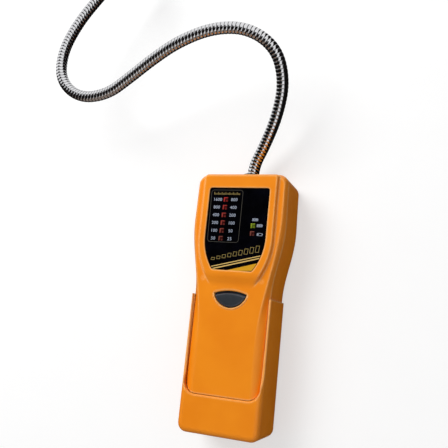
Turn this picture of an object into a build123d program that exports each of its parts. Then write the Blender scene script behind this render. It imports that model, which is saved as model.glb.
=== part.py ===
"""Hand-held combustible gas detector with a gooseneck probe, in millimetres.

It lies on its back. The origin is the middle of the foot's underside, +Y runs up
the handle, the display faces +Z, and +X is to the viewer's right.
"""
from build123d import *
import os
from math import asin, cos, degrees, pi, radians, sin, tan

# Overall sizes
LENGTH = 190.0          # foot underside to the top of the head
DEPTH = 40.0            # back to the front cover's face
HEAD_HALF = 36.0        # half of the head's greatest width
TOP_HALF = 35.2         # half of the width at the top edge
GRIP_HALF = 29.2        # half of the case's width just above the battery cover
FRONT = DEPTH / 2
BACK = -DEPTH / 2

# Fits
FIT = 0.3               # gap between moulded pieces that slide or drop in
SEAT = 0.2              # gap round pieces that are soldered, clipped or pressed in
RUN = 0.35              # gap round the button

# Housing shells
WALL = 2.2
SPLIT = FRONT - 5.0     # height of the joint between front cover and rear case
BACK_ROUND = 5.0
TOP_CORNER = 8.0
INNER_CORNER = 4.0      # smallest corner of the outlines that lie inside it
HEAD_WIDE_DROP = 38.0   # from the top down to the widest line
SHOULDER_DEPTH = 4.5    # fall from the cover's flat face to the case's side
SHOULDER_CURVE = 1.6    # power that rounds the fall: 1 would be a straight slope
SHOULDER_STEPS = 4
RIDGE_HEAD_HALF = 33.4  # half of the flat face's width at the head
RIDGE_GRIP_HALF = 21.8  # and at the grip
RIDGE_TOP_DROP = 4.0
RIDGE_CORNER = 4.5
RIDGE_START_DROP = 128.0  # from the top down to where the flat face starts to widen
RIDGE_WIDE_DROP = 30.0
POCKET_INSET = 5.5

# Slide-off battery cover, which carries the foot
BOOT_DROP = 92.0        # from the top of the head down to the cover's upper end
BOOT_HALF = 30.6
BOOT_WALL = 2.0
FOOT_HEIGHT = 27.0
FOOT_PROUD = 1.2        # how far the foot stands in front of the cover's face
FOOT_CORNER = 6.5
FOOT_FLOOR = 2.4
FOOT_ROUND = 4.0
RAIL_DROP = 1.4         # rails' front edge below the cover's face
RAIL_FLARE = 1.0        # how much the rails thin towards their upper ends
RAIL_FLARE_START = 42.0
RAMP_START = 1.0        # the rails' front edges rise to the foot between these
RAMP_END = 20.0         # two distances above the foot's ledge
OPENING_CORNER = 9.0
OPENING_LIP = 1.2       # rounding of the ledge
TONGUE_DROP = 3.0
THUMB_RIBS = 6
THUMB_RIB_PITCH = 3.2
THUMB_RIB_HALF = 12.0
THUMB_RIB_DROP = 32.0
THUMB_RIB_DEEP = 0.8

# Raised display panel and chin
PLATEAU_RISE = 2.8
PLATEAU_HALF = 29.6
PLATEAU_SLOPE = 1.6
PLATEAU_TOP_DROP = 0.9
PLATEAU_TOP_SLOPE = 1.8
PLATEAU_BOTTOM_DROP = 86.0
PLATEAU_CORNER = 3.2
PLATEAU_EASE = 0.8      # 0 makes the sides straight, 1 runs them smoothly into both levels
PLATEAU_STEPS = 6
CHIN_SLOPE = 11.2
CHIN_CORNER = 5.0
PANEL_BEND_DROP = 49.0  # from the top down to where the sides curve in
PLATEAU_RADIUS = 56.0
LABEL_HALF = 23.4
LABEL_RADIUS = 41.4
LABEL_TOP_DROP = 12.2
LABEL_BOTTOM_DROP = 73.6
LABEL_THICK = 0.8
LABEL_SUNK = 0.5
LABEL_CORNER = 2.0

# Lights
LED_SIDE = 3.4
LED_PROUD = 0.15
LED_PITCH = 5.88
LED_COUNT = 6
LED_TOP_DROP = 21.1
LED_TOP_X = -10.0
LED_LEAN = 0.2          # sideways step of the column from one light to the next
CHARGE_LED_X = 13.0
CHARGE_LED_DROPS = {"battery_led_green": 40.3, "battery_led_red": 46.0}

# Power button
BUTTON_HALF = 12.2
BUTTON_DROP = 90.7
BUTTON_RISE = 2.1
BUTTON_FALL = 9.5
BUTTON_CORNER = 0.9
BUTTON_PROUD = 0.6
BUTTON_FLANGE = 1.4
BUTTON_FLANGE_THICK = 1.0
BUTTON_TRAVEL = 0.5
BUTTON_LIP = 0.9
SWITCH_SIDE = 6.0
SWITCH_TALL = 1.6
PLUNGER_R = 1.6

# Main board and what it carries
BOARD_FRONT = FRONT - 6.4
BOARD_THICK = 1.6
BOARD_INSET = 5.0
BOARD_BOTTOM_DROP = 104.0
STANDOFF_R = 2.6
BOARD_SCREW_R = 0.95
BOARD_SCREW_HEAD_R = 2.3
BOARD_SCREW_HEAD = 1.5
BOARD_SCREW_X = (19.0, 17.0)
BOARD_SCREW_DROP = (12.0, 98.0)
BUZZER_R = 11.0
BUZZER_TALL = 9.0
BUZZER_DROP = 42.0
CHIP_SIDE = 10.0
CHIP_TALL = 1.4
CHIP_DROP = 72.0
PLUG_SIZE = (12.0, 5.0, 5.5)
PLUG_DROP = 20.0
SOUND_HOLE_R = 1.1
SOUND_RING = 4.6

# Case screws, driven in from the back
CASE_SCREW_X = (27.0, 22.5)
CASE_SCREW_DROP = (14.0, 80.0)
CASE_BOSS_R = 4.8
CASE_SCREW_R = 1.4
CASE_SCREW_HEAD_R = 2.8
CASE_SCREW_HEAD = 2.4
CASE_RECESS_R = 3.2
CASE_RECESS = 14.0
COVER_BOSS_R = 3.2
THREAD_DEPTH = 4.4

# Cells and their holder
CELL_R = 7.25
CELL_LENGTH = 49.2
CELL_NUB_R = 2.75
CELL_NUB = 1.3
CELL_GAP = 0.3
HOLDER_WALL = 1.2
HOLDER_END = 1.5
HOLDER_Y = 6.0
LEAF_ROOM = 3.6
LEAF_THICK = 0.4
LEAF_WIDTH = 6.0
PLATE_SIDE = 8.0
PLATE_THICK = 0.4

# Gooseneck and the bushing that holds it
NECK_R = 4.6
NECK_BORE_R = 3.4
NECK_Z = -5.0
NECK_SWING = 15.0       # swing that the bushing's bore leaves the root, in degrees each way
NECK_INSIDE = 13.0      # length of tube inside the case
NECK_ARC_SHARE = 0.45   # share of each straight run that the bends at its ends take
BUSHING_R = 8.6
BUSHING_SHANK_R = 7.4
BUSHING_PROUD = 5.0
BUSHING_DEEP = 5.0
BUSHING_FLANGE = 3.8
NUT_FLATS = 19.0
NUT_THICK = 2.6
CRIMP_R = 6.2
CRIMP_LENGTH = 5.0
LEAD_R = 1.3
LEAD_TAIL = 8.0
NECK_ROUTE = [          # corners of the route, counted from the middle of the exit
    (0, 13, 0), (10, 28, 7), (22, 48, 20), (28, 70, 31), (23, 91, 43), (3, 103, 53),
    (-23, 103, 57), (-50, 95, 56), (-73, 85, 51), (-96, 73, 45), (-118, 62, 40),
    (-144, 60, 40), (-164, 75, 42), (-168, 101, 41), (-160, 128, 38), (-146, 152, 35),
    (-130, 174, 32),
]

# Sensor tip
TIP_R = 8.5
TIP_WALL = 1.2
TIP_COLLAR_R = 6.4
TIP_COLLAR = 5.0
TIP_TAPER = 3.0
TIP_BARREL = 14.0
TIP_CAP = 10.0
TIP_SPIGOT = 3.0
TIP_SLOTS = 8
TIP_SLOT_WIDTH = 1.6
TIP_SLOT_LENGTH = 5.0
TIP_HOLE_R = 1.1
TIP_HOLE_RING = 4.2
ELEMENT_R = 4.8
ELEMENT_TALL = 7.0
SOCKET_DEEP = 5.0       # from the barrel's floor to the socket
SOCKET_TALL = 5.0
PIN_R = 0.5
PIN_LENGTH = 3.0
PIN_RING = 2.6
SCREEN_THICK = 0.5

# Levels that several pieces share
LABEL_FACE = FRONT + PLATEAU_RISE - LABEL_SUNK
LABEL_FLOOR = LABEL_FACE - LABEL_THICK
COVER_INSIDE = FRONT - WALL
BOARD_BACK = BOARD_FRONT - BOARD_THICK
BOOT_TOP = LENGTH - BOOT_DROP
CORE_HALF = BOOT_HALF - BOOT_WALL - FIT
CORE_BACK = BACK + BOOT_WALL + FIT
CORE_BOTTOM = FOOT_FLOOR + FIT
CASE_STEP = BOOT_TOP + FIT
TONGUE_FRONT = FRONT - TONGUE_DROP
BUTTON_Y = LENGTH - BUTTON_DROP
BOARD_SCREW_Y = [LENGTH - drop for drop in BOARD_SCREW_DROP]
CASE_SCREW_Y = [LENGTH - drop for drop in CASE_SCREW_DROP]
TIP_BORE_R = TIP_R - TIP_WALL
TIP_CAP_START = TIP_TAPER + TIP_BARREL
SOCKET_START = TIP_TAPER + SOCKET_DEEP


def slab(sketch, low, high):
    """Prism of a front-view sketch between two heights."""
    return extrude(Pos(0, 0, low) * sketch, high - low)


def post(x, y, radius, low, high):
    """Upright cylinder between two heights."""
    return Pos(x, y, low) * Cylinder(radius, high - low, align=(Align.CENTER, Align.CENTER, Align.MIN))


def block(width, length, low, high, x=0.0, y=0.0):
    """Upright block, centred on (x, y)."""
    height = high - low
    return Pos(x, y, low) * Box(width, length, height, align=(Align.CENTER, Align.CENTER, Align.MIN))


def both_sides(xs, ys):
    """Mirrored points on each of several rows."""
    return [(side * x, y) for x, y in zip(xs, ys) for side in (-1, 1)]


def mirrored_face(*edges):
    """Face bounded by right-hand edges and their mirror image in X."""
    return make_face([*edges, *(mirror(edge, Plane.YZ) for edge in edges)])


def round_top(sketch, radius):
    """Sketch with its two uppermost corners rounded."""
    return fillet(sketch.vertices().group_by(Axis.Y)[-1], radius)


def flared_face(grip_half, start, wide_half, wide, top_half, top, bottom, corner):
    """Front view of the housing: straight grip, flared head and rounded top corners."""
    outline = mirrored_face(
        Line((0, bottom), (grip_half, bottom)),
        Line((grip_half, bottom), (grip_half, start)),
        Spline((grip_half, start), (wide_half, wide), tangents=((0, 1), (0, 1))),
        Line((wide_half, wide), (top_half, top)),
        Line((top_half, top), (0, top)),
    )
    return round_top(outline, corner)


def shell_face(inset, bottom):
    """Housing outline, moved inwards all round by inset, down to a given level."""
    corner = max(TOP_CORNER - inset, INNER_CORNER)
    outline = flared_face(GRIP_HALF - inset, CASE_STEP, HEAD_HALF - inset, LENGTH - HEAD_WIDE_DROP,
                          TOP_HALF - inset, LENGTH - inset, FOOT_HEIGHT, corner)
    return outline - Pos(0, bottom - LENGTH) * Rectangle(4 * HEAD_HALF, 2 * LENGTH)


def panel_face(half, top_drop, bottom, radius, top_corner, bottom_corner):
    """Front view of the display: straight sides that curve in towards the chin."""
    bend = LENGTH - PANEL_BEND_DROP
    turn = asin((bend - bottom) / radius)
    foot_half = half - radius * (1 - cos(turn))
    top = LENGTH - top_drop
    outline = mirrored_face(
        Line((0, bottom), (foot_half, bottom)),
        CenterArc((half - radius, bend), radius, -degrees(turn), degrees(turn)),
        Line((half, bend), (half, top)),
        Line((half, top), (0, top)),
    )
    outline = round_top(outline, top_corner)
    return fillet(outline.vertices().group_by(Axis.Y)[0], bottom_corner)


def label_face(gap):
    """Outline of the label panel, or of its recess when a gap is given."""
    return panel_face(LABEL_HALF + gap, LABEL_TOP_DROP - gap, LENGTH - LABEL_BOTTOM_DROP - gap,
                      LABEL_RADIUS + gap, LABEL_CORNER, LABEL_CORNER)


def chord_radius(rise):
    """Radius of an arc across the button's width with a given rise."""
    return (BUTTON_HALF**2 + rise**2) / (2 * rise)


def button_face(gap):
    """Half-moon outline of the power button, grown by a gap: two discs' common part."""
    upper, lower = chord_radius(BUTTON_RISE), chord_radius(BUTTON_FALL)
    moon = Pos(0, BUTTON_Y + BUTTON_RISE - upper) * Circle(upper + gap)
    moon &= Pos(0, BUTTON_Y - BUTTON_FALL + lower) * Circle(lower + gap)
    return fillet(moon.vertices(), BUTTON_CORNER + gap)


def led_places():
    """Name and place of every light."""
    column = {f"leak_led_{i + 1}": (LED_TOP_X - LED_LEAN * i, LENGTH - LED_TOP_DROP - LED_PITCH * i)
              for i in range(LED_COUNT)}
    pair = {name: (CHARGE_LED_X, LENGTH - drop) for name, drop in CHARGE_LED_DROPS.items()}
    return {**column, **pair}


def boot_opening(gap):
    """Front opening between the rails, with concave lower corners, shrunk by a gap."""
    half, bottom = CORE_HALF + FIT - gap, FOOT_HEIGHT + gap
    shape = Pos(0, bottom + LENGTH / 2) * Rectangle(2 * half, LENGTH)
    return fillet(shape.vertices().group_by(Axis.Y)[0], OPENING_CORNER - gap)


def boot_space(half, gap):
    """Front view of what lies beside and below the opening, up to the case's step."""
    return Pos(0, CASE_STEP / 2) * Rectangle(2 * half, CASE_STEP) - boot_opening(gap)


def neck_frame(drop):
    """Frame on the neck's axis at the exit, whose own Z runs out of the case."""
    return Pos(0, LENGTH - drop, NECK_Z) * Rot(-90, 0, 0)


def front_cover():
    """Orange front moulding with display panel, chin, button hole, posts and tongue."""
    body = loft([shoulder_section(1 - step / SHOULDER_STEPS) for step in range(SHOULDER_STEPS + 1)])
    body += slab(shell_face(0, FOOT_HEIGHT), SPLIT, FRONT - SHOULDER_DEPTH)
    body += raised_panel()
    body -= slab(boot_space(HEAD_HALF, FIT), TONGUE_FRONT, FRONT + PLATEAU_RISE)
    body += block(2 * CORE_HALF, FOOT_HEIGHT + FIT + WALL - CORE_BOTTOM, SPLIT, TONGUE_FRONT,
                  y=(FOOT_HEIGHT + FIT + WALL + CORE_BOTTOM) / 2)
    for side in (-1, 1):
        body -= block(2 * HEAD_HALF, CASE_STEP, SPLIT, TONGUE_FRONT,
                      side * (CORE_HALF + HEAD_HALF), CASE_STEP / 2)
    pocket = shell_face(POCKET_INSET, FOOT_HEIGHT) - boot_space(HEAD_HALF, FIT + WALL)
    body -= slab(pocket, SPLIT, COVER_INSIDE)
    for x, y in both_sides(CASE_SCREW_X, CASE_SCREW_Y):
        body += post(x, y, COVER_BOSS_R, SPLIT, COVER_INSIDE)
        body -= post(x, y, CASE_SCREW_R + SEAT / 4, SPLIT, SPLIT + THREAD_DEPTH)
    for x, y in both_sides(BOARD_SCREW_X, BOARD_SCREW_Y):
        body += post(x, y, STANDOFF_R, BOARD_FRONT, COVER_INSIDE)
        body -= post(x, y, BOARD_SCREW_R + SEAT / 4, BOARD_FRONT, COVER_INSIDE)
    for x, y in led_places().values():
        body -= block(LED_SIDE + 2 * SEAT, LED_SIDE + 2 * SEAT, SPLIT, LABEL_FACE, x, y)
    body -= slab(label_face(SEAT), LABEL_FLOOR, LABEL_FACE + PLATEAU_RISE)
    body -= slab(button_face(RUN), SPLIT, FRONT + PLATEAU_RISE)
    body -= loft([Pos(0, 0, FRONT - BUTTON_LIP) * button_face(RUN),
                  Pos(0, 0, FRONT + SEAT) * button_face(RUN + BUTTON_LIP + SEAT)])
    return body


def shoulder_section(share):
    """Cover's outline at a share of the way out from its flat face to the case's side."""
    def between(ridge, side):
        return ridge + (side - ridge) * share

    outline = flared_face(
        between(RIDGE_GRIP_HALF, GRIP_HALF), between(LENGTH - RIDGE_START_DROP, CASE_STEP),
        between(RIDGE_HEAD_HALF, HEAD_HALF), LENGTH - between(RIDGE_WIDE_DROP, HEAD_WIDE_DROP),
        between(RIDGE_HEAD_HALF, TOP_HALF), LENGTH - between(RIDGE_TOP_DROP, 0),
        FOOT_HEIGHT, between(RIDGE_CORNER, TOP_CORNER))
    return Pos(0, 0, FRONT - SHOULDER_DEPTH * share**SHOULDER_CURVE) * outline


def panel_section(share):
    """Display panel's outline at a share of the way in from its foot to its face."""
    rise = share - PLATEAU_EASE * sin(2 * pi * share) / (2 * pi)
    inset = PLATEAU_SLOPE * share
    outline = panel_face(PLATEAU_HALF - inset, PLATEAU_TOP_DROP + PLATEAU_TOP_SLOPE * share,
                         LENGTH - PLATEAU_BOTTOM_DROP + CHIN_SLOPE * share, PLATEAU_RADIUS - inset,
                         PLATEAU_CORNER - inset, CHIN_CORNER - inset)
    return Pos(0, 0, FRONT + PLATEAU_RISE * rise) * outline


def raised_panel():
    """Display panel that stands on the cover's face and runs down into the chin."""
    panel = loft([panel_section(step / PLATEAU_STEPS) for step in range(PLATEAU_STEPS + 1)])
    return panel + slab(panel_section(0), -SHOULDER_DEPTH, 0)


def rear_case():
    """Orange rear moulding: tub behind the head, and the core that the cover slides over."""
    head = slab(shell_face(0, CASE_STEP), BACK, SPLIT)
    head = fillet(head.edges().group_by(Axis.Z)[0].sort_by(Axis.Y)[1:], BACK_ROUND)
    core_top = CASE_STEP + WALL
    core = block(2 * CORE_HALF, core_top - CORE_BOTTOM, CORE_BACK, SPLIT, y=(core_top + CORE_BOTTOM) / 2)
    core = fillet(core.edges().filter_by(Axis.Y).group_by(Axis.Z)[0], BACK_ROUND - BOOT_WALL)
    body = head + core
    body -= slab(shell_face(WALL, core_top), BACK + WALL, SPLIT)
    body -= block(2 * (CORE_HALF - WALL), core_top - CORE_BOTTOM - WALL, CORE_BACK + WALL, SPLIT,
                  y=(core_top + CORE_BOTTOM + WALL) / 2)
    for x, y in both_sides(CASE_SCREW_X, CASE_SCREW_Y):
        body += post(x, y, CASE_BOSS_R, BACK + WALL / 2, SPLIT)
        body -= post(x, y, CASE_RECESS_R, BACK, BACK + CASE_RECESS)
        body -= post(x, y, CASE_SCREW_R + SEAT, BACK, SPLIT)
    body -= block(2 * (holder_half() + SEAT), holder_length() + 2 * SEAT, CORE_BACK, CORE_BACK + WALL,
                  y=HOLDER_Y + holder_length() / 2)
    body -= neck_frame(WALL) * Cylinder(BUSHING_SHANK_R + SEAT / 2, 3 * WALL)
    for place in PolarLocations(SOUND_RING, 6):
        body -= Pos(0, LENGTH - BUZZER_DROP) * place * post(0, 0, SOUND_HOLE_R, BACK, BACK + WALL)
    return body - post(0, LENGTH - BUZZER_DROP, SOUND_HOLE_R, BACK, BACK + WALL)


def battery_cover():
    """Orange slide-off cover: foot, side rails and back, with ribs for the thumb."""
    outline = Pos(0, BOOT_TOP / 2) * Rectangle(2 * BOOT_HALF, BOOT_TOP)
    outline = fillet(outline.vertices().group_by(Axis.Y)[0], FOOT_CORNER)
    body = slab(outline, BACK, FRONT + FOOT_PROUD)
    body = fillet(body.edges().group_by(Axis.Z)[-1].sort_by(Axis.Y)[:-1], FOOT_ROUND)
    body = fillet(body.edges().group_by(Axis.Z)[0].sort_by(Axis.Y)[:-1], BACK_ROUND)
    body -= block(2 * (CORE_HALF + FIT), BOOT_TOP, CORE_BACK - FIT, TONGUE_FRONT + FIT,
                  y=BOOT_TOP / 2 + FOOT_FLOOR)
    body -= slab(boot_opening(0), TONGUE_FRONT, FRONT + FOOT_PROUD)
    body -= ledge_round()
    body -= above_rails()
    body -= rail_flare()
    for i in range(THUMB_RIBS):
        body -= block(2 * THUMB_RIB_HALF, THUMB_RIB_PITCH / 2, BACK, BACK + THUMB_RIB_DEEP,
                      y=BOOT_TOP - THUMB_RIB_DROP + THUMB_RIB_PITCH * i)
    return body


def ledge_round():
    """What is taken off the opening's front edge to round the foot's ledge."""
    sections = []
    for turn in (0, 30, 60, 90):
        grown = OPENING_LIP * (1 - cos(radians(turn)))
        low = OPENING_LIP * (1 - sin(radians(turn)))
        sections.append(Pos(0, 0, FRONT + FOOT_PROUD - low) * boot_opening(-grown))
    return loft(sections)


def above_rails():
    """What is taken off in front of the rails, with an eased ramp up to the foot."""
    foot, rail = FRONT + FOOT_PROUD + SEAT, FRONT - RAIL_DROP
    start, end = FOOT_HEIGHT + RAMP_START, FOOT_HEIGHT + RAMP_END
    profile = make_face([
        Spline((start, foot), (end, rail), tangents=((1, 0), (1, 0))),
        *Polyline((end, rail), (LENGTH, rail), (LENGTH, DEPTH), (start, DEPTH), (start, foot)).edges(),
    ])
    return extrude(Plane.YZ * profile, HEAD_HALF, both=True)


def rail_flare():
    """Slim wedges that thin the rails from inside towards their upper ends."""
    inner = CORE_HALF + FIT
    wedge = make_face(Polyline(
        (0, RAIL_FLARE_START), (inner, RAIL_FLARE_START), (inner + RAIL_FLARE, BOOT_TOP),
        (inner + RAIL_FLARE, LENGTH), (0, LENGTH), (0, RAIL_FLARE_START)))
    return slab(wedge + mirror(wedge, Plane.YZ), TONGUE_FRONT + FIT, FRONT)


def label_panel():
    """Black panel sunk in the display, with a window for each light."""
    panel = slab(label_face(0), LABEL_FLOOR, LABEL_FACE)
    for x, y in led_places().values():
        panel -= block(LED_SIDE + SEAT, LED_SIDE + SEAT, LABEL_FLOOR, LABEL_FACE, x, y)
    return panel


def light(x, y):
    """Square light that stands on the board and shows through the panel."""
    face = LABEL_FACE + LED_PROUD
    lens = block(LED_SIDE, LED_SIDE, BOARD_FRONT, face, x, y)
    return chamfer(lens.edges().group_by(Axis.Z)[-1], LED_PROUD)


def power_button():
    """Half-moon button with the flange that keeps it in and a stem to the switch."""
    flange_top = COVER_INSIDE - FIT
    flange_low = flange_top - BUTTON_FLANGE_THICK
    body = slab(button_face(0), flange_low, FRONT + BUTTON_PROUD)
    body = chamfer(body.edges().group_by(Axis.Z)[-1], BUTTON_PROUD)
    body += slab(button_face(BUTTON_FLANGE), flange_low, flange_top)
    return body + post(0, switch_y(), PLUNGER_R, plunger_front(), flange_low)


def switch_y():
    """Middle of the switch under the button."""
    return BUTTON_Y + (BUTTON_RISE - BUTTON_FALL) / 2


def plunger_front():
    """Height at which the button's stem meets the plunger."""
    return BOARD_FRONT + SWITCH_TALL + BUTTON_TRAVEL + SEAT


def switch_body():
    """Switch on the board, with a well for its plunger."""
    body = block(SWITCH_SIDE, SWITCH_SIDE, BOARD_FRONT, BOARD_FRONT + SWITCH_TALL, y=switch_y())
    return body - post(0, switch_y(), PLUNGER_R + SEAT / 2, BOARD_FRONT + SEAT, BOARD_FRONT + SWITCH_TALL)


def switch_plunger():
    """Plunger that the button pushes into the switch."""
    return post(0, switch_y(), PLUNGER_R, BOARD_FRONT + SEAT + BUTTON_TRAVEL + SEAT, plunger_front())


def main_board():
    """Board that follows the housing and clears the case's screw posts."""
    board = slab(shell_face(BOARD_INSET, LENGTH - BOARD_BOTTOM_DROP), BOARD_BACK, BOARD_FRONT)
    for x, y in both_sides(CASE_SCREW_X, CASE_SCREW_Y):
        board -= post(x, y, CASE_BOSS_R + 2 * SEAT, BOARD_BACK, BOARD_FRONT)
    for x, y in both_sides(BOARD_SCREW_X, BOARD_SCREW_Y):
        board -= post(x, y, BOARD_SCREW_R + SEAT, BOARD_BACK, BOARD_FRONT)
    return board


def board_screws():
    """Pan-head screws that hold the board on the cover's standoffs."""
    return Compound([
        post(x, y, BOARD_SCREW_HEAD_R, BOARD_BACK - BOARD_SCREW_HEAD, BOARD_BACK)
        + post(x, y, BOARD_SCREW_R, BOARD_BACK, COVER_INSIDE - SEAT)
        for x, y in both_sides(BOARD_SCREW_X, BOARD_SCREW_Y)
    ])


def case_screws():
    """Long screws from the back that pull the two shells together."""
    floor = BACK + CASE_RECESS
    return Compound([
        post(x, y, CASE_SCREW_HEAD_R, floor - CASE_SCREW_HEAD, floor)
        + post(x, y, CASE_SCREW_R, floor, SPLIT + THREAD_DEPTH - SEAT)
        for x, y in both_sides(CASE_SCREW_X, CASE_SCREW_Y)
    ])


def buzzer():
    """Round sounder under the board, open at its back."""
    y = LENGTH - BUZZER_DROP
    can = post(0, y, BUZZER_R, BOARD_BACK - BUZZER_TALL, BOARD_BACK)
    return can - post(0, y, SOUND_HOLE_R, BOARD_BACK - BUZZER_TALL, BOARD_BACK - WALL)


def control_chip():
    """Square chip on the board's back."""
    return block(CHIP_SIDE, CHIP_SIDE, BOARD_BACK - CHIP_TALL, BOARD_BACK, y=LENGTH - CHIP_DROP)


def sensor_plug():
    """Connector on the board for the sensor's lead."""
    width, length, tall = PLUG_SIZE
    return block(width, length, BOARD_BACK - tall, BOARD_BACK, y=LENGTH - PLUG_DROP)


def holder_half():
    """Half of the battery holder's width."""
    return 2 * CELL_R + 1.5 * CELL_GAP + HOLDER_WALL


def holder_length():
    """Outside length of the battery holder."""
    return 2 * HOLDER_END + LEAF_ROOM + CELL_LENGTH + CELL_NUB + PLATE_THICK


def rear_row():
    """Height of the middle of the cells nearest the back."""
    return CORE_BACK + CELL_GAP + CELL_R


def web_height():
    """Height of the web between the two rows of cells."""
    return rear_row() + CELL_R + CELL_GAP + HOLDER_WALL / 2


def cell_places():
    """Sideways place and height of each cell, and which way its nub points."""
    step = CELL_R + CELL_GAP / 2
    rise = web_height() - rear_row()
    return [(x * step, web_height() + z * rise, x * z) for z in (-1, 1) for x in (-1, 1)]


def cell_frame(x, z, way, from_nub):
    """Frame on an end wall of the holder, whose own Z runs along the cell's axis."""
    at_bottom = (way > 0) != from_nub
    y = HOLDER_Y + (HOLDER_END if at_bottom else holder_length() - HOLDER_END)
    return Pos(x, y, z) * Rot(-90 if at_bottom else 90, 0, 0)


def battery_holder():
    """Open holder: two end walls, two side walls and the web between the rows."""
    low = CORE_BACK + CELL_GAP
    high = 2 * web_height() - low
    middle = HOLDER_Y + holder_length() / 2
    body = block(2 * holder_half(), holder_length(), low, high, y=middle)
    room = holder_length() - 2 * HOLDER_END
    for bottom, top in ((low, web_height() - HOLDER_WALL / 2), (web_height() + HOLDER_WALL / 2, high)):
        body -= block(2 * (holder_half() - HOLDER_WALL), room, bottom, top, y=middle)
    return body


def battery(x, z, way):
    """Dry cell with its nub."""
    align = (Align.CENTER, Align.CENTER, Align.MIN)
    can = Cylinder(CELL_R, CELL_LENGTH, align=align)
    can = chamfer(can.edges(), LEAF_THICK)
    can += Pos(0, 0, CELL_LENGTH) * Cylinder(CELL_NUB_R, CELL_NUB, align=align)
    return cell_frame(x, z, way, False) * Pos(0, 0, LEAF_ROOM) * can


def leaf_spring(x, z, way):
    """Bent leaf that bears on the cell's flat end."""
    half, rise = CELL_R - 3 * LEAF_THICK, LEAF_ROOM - SEAT
    arch = make_face([
        ThreePointArc((-half, 0), (0, rise), (half, 0)),
        Line((half, 0), (half - LEAF_THICK, 0)),
        ThreePointArc((half - LEAF_THICK, 0), (0, rise - LEAF_THICK), (LEAF_THICK - half, 0)),
        Line((LEAF_THICK - half, 0), (-half, 0)),
    ])
    arch += Pos(0, LEAF_THICK / 2) * Rectangle(2 * half, LEAF_THICK)
    strip = extrude(Plane.XZ * arch, LEAF_WIDTH / 2, both=True)
    return cell_frame(x, z, way, False) * strip


def contact_plate(x, z, way):
    """Flat plate under the cell's nub."""
    plate = Box(PLATE_SIDE, PLATE_SIDE, PLATE_THICK, align=(Align.CENTER, Align.CENTER, Align.MIN))
    return cell_frame(x, z, way, True) * plate


def swing_bore(height):
    """Radius that the swinging tube needs at a distance from its pivot."""
    swing = radians(NECK_SWING)
    return NECK_R / cos(swing) + height * tan(swing) + SEAT


def neck_bushing():
    """Flanged bushing whose bore widens both ways from the pivot."""
    section = make_face(Polyline([
        (swing_bore(BUSHING_DEEP), -BUSHING_DEEP), (BUSHING_SHANK_R, -BUSHING_DEEP),
        (BUSHING_SHANK_R, 0), (BUSHING_R, 0), (BUSHING_R, BUSHING_FLANGE),
        (BUSHING_R - 1, BUSHING_PROUD), (swing_bore(BUSHING_PROUD), BUSHING_PROUD),
        (swing_bore(0), 0), (swing_bore(BUSHING_DEEP), -BUSHING_DEEP),
    ]))
    return neck_frame(0) * revolve(Plane.XZ * section, Axis.Z)


def neck_nut():
    """Hexagon nut on the bushing, inside the case."""
    nut = extrude(RegularPolygon(NUT_FLATS / 2, 6, major_radius=False), NUT_THICK)
    nut -= Cylinder(BUSHING_SHANK_R + SEAT / 4, 3 * NUT_THICK)
    return neck_frame(WALL + NUT_THICK) * nut


def neck_route():
    """Corners of the neck's route, from its end inside the case to the tip."""
    points = [(0, -NECK_INSIDE, 0), *NECK_ROUTE]
    return [Vector(x, LENGTH + y, NECK_Z + z) for x, y, z in points]


def neck_path():
    """Straight runs joined by tangent arcs that are as large as the runs allow."""
    points = neck_route()
    runs = [b - a for a, b in zip(points, points[1:])]
    radii = [NECK_ARC_SHARE * min(a.length, b.length) / tan(radians(a.get_angle(b)) / 2)
             for a, b in zip(runs, runs[1:])]
    return FilletPolyline(*points, radius=radii)


def along_neck(path, section):
    """Sweep a section that is centred on the neck's path."""
    return sweep(Plane(path @ 0, z_dir=path % 0) * section, path=path)


def gooseneck(path):
    """Hollow flexible tube."""
    return along_neck(path, Circle(NECK_R) - Circle(NECK_BORE_R))


def neck_crimp():
    """Ring crimped on the tube's end inside the case."""
    ring = Cylinder(CRIMP_R, CRIMP_LENGTH) - Cylinder(NECK_R + SEAT / 4, 2 * CRIMP_LENGTH)
    return neck_frame(NECK_INSIDE - CRIMP_LENGTH / 2) * ring


def sensor_lead(path):
    """Lead that runs the whole length of the tube to the socket."""
    tail = neck_frame(NECK_INSIDE + LEAD_TAIL) * Cylinder(
        LEAD_R, LEAD_TAIL, align=(Align.CENTER, Align.CENTER, Align.MIN))
    head = tip_frame(path) * Cylinder(LEAD_R, SOCKET_START, align=(Align.CENTER, Align.CENTER, Align.MIN))
    return along_neck(path, Circle(LEAD_R)) + tail + head


def tip_frame(path):
    """Frame at the tube's far end, whose own Z runs on along the probe."""
    return Plane(path @ 1, z_dir=path % 1)


def sensor_housing(path):
    """Turned barrel with a collar that grips the tube."""
    section = make_face(Polyline([
        (NECK_R + SEAT / 4, -TIP_COLLAR), (TIP_COLLAR_R, -TIP_COLLAR), (TIP_COLLAR_R, 0),
        (TIP_R, TIP_TAPER), (TIP_R, TIP_CAP_START), (TIP_BORE_R, TIP_CAP_START),
        (TIP_BORE_R, TIP_TAPER), (LEAD_R + SEAT, TIP_TAPER), (LEAD_R + SEAT, 0),
        (NECK_R + SEAT / 4, 0), (NECK_R + SEAT / 4, -TIP_COLLAR),
    ]))
    return tip_frame(path) * revolve(Plane.XZ * section, Axis.Z)


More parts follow.
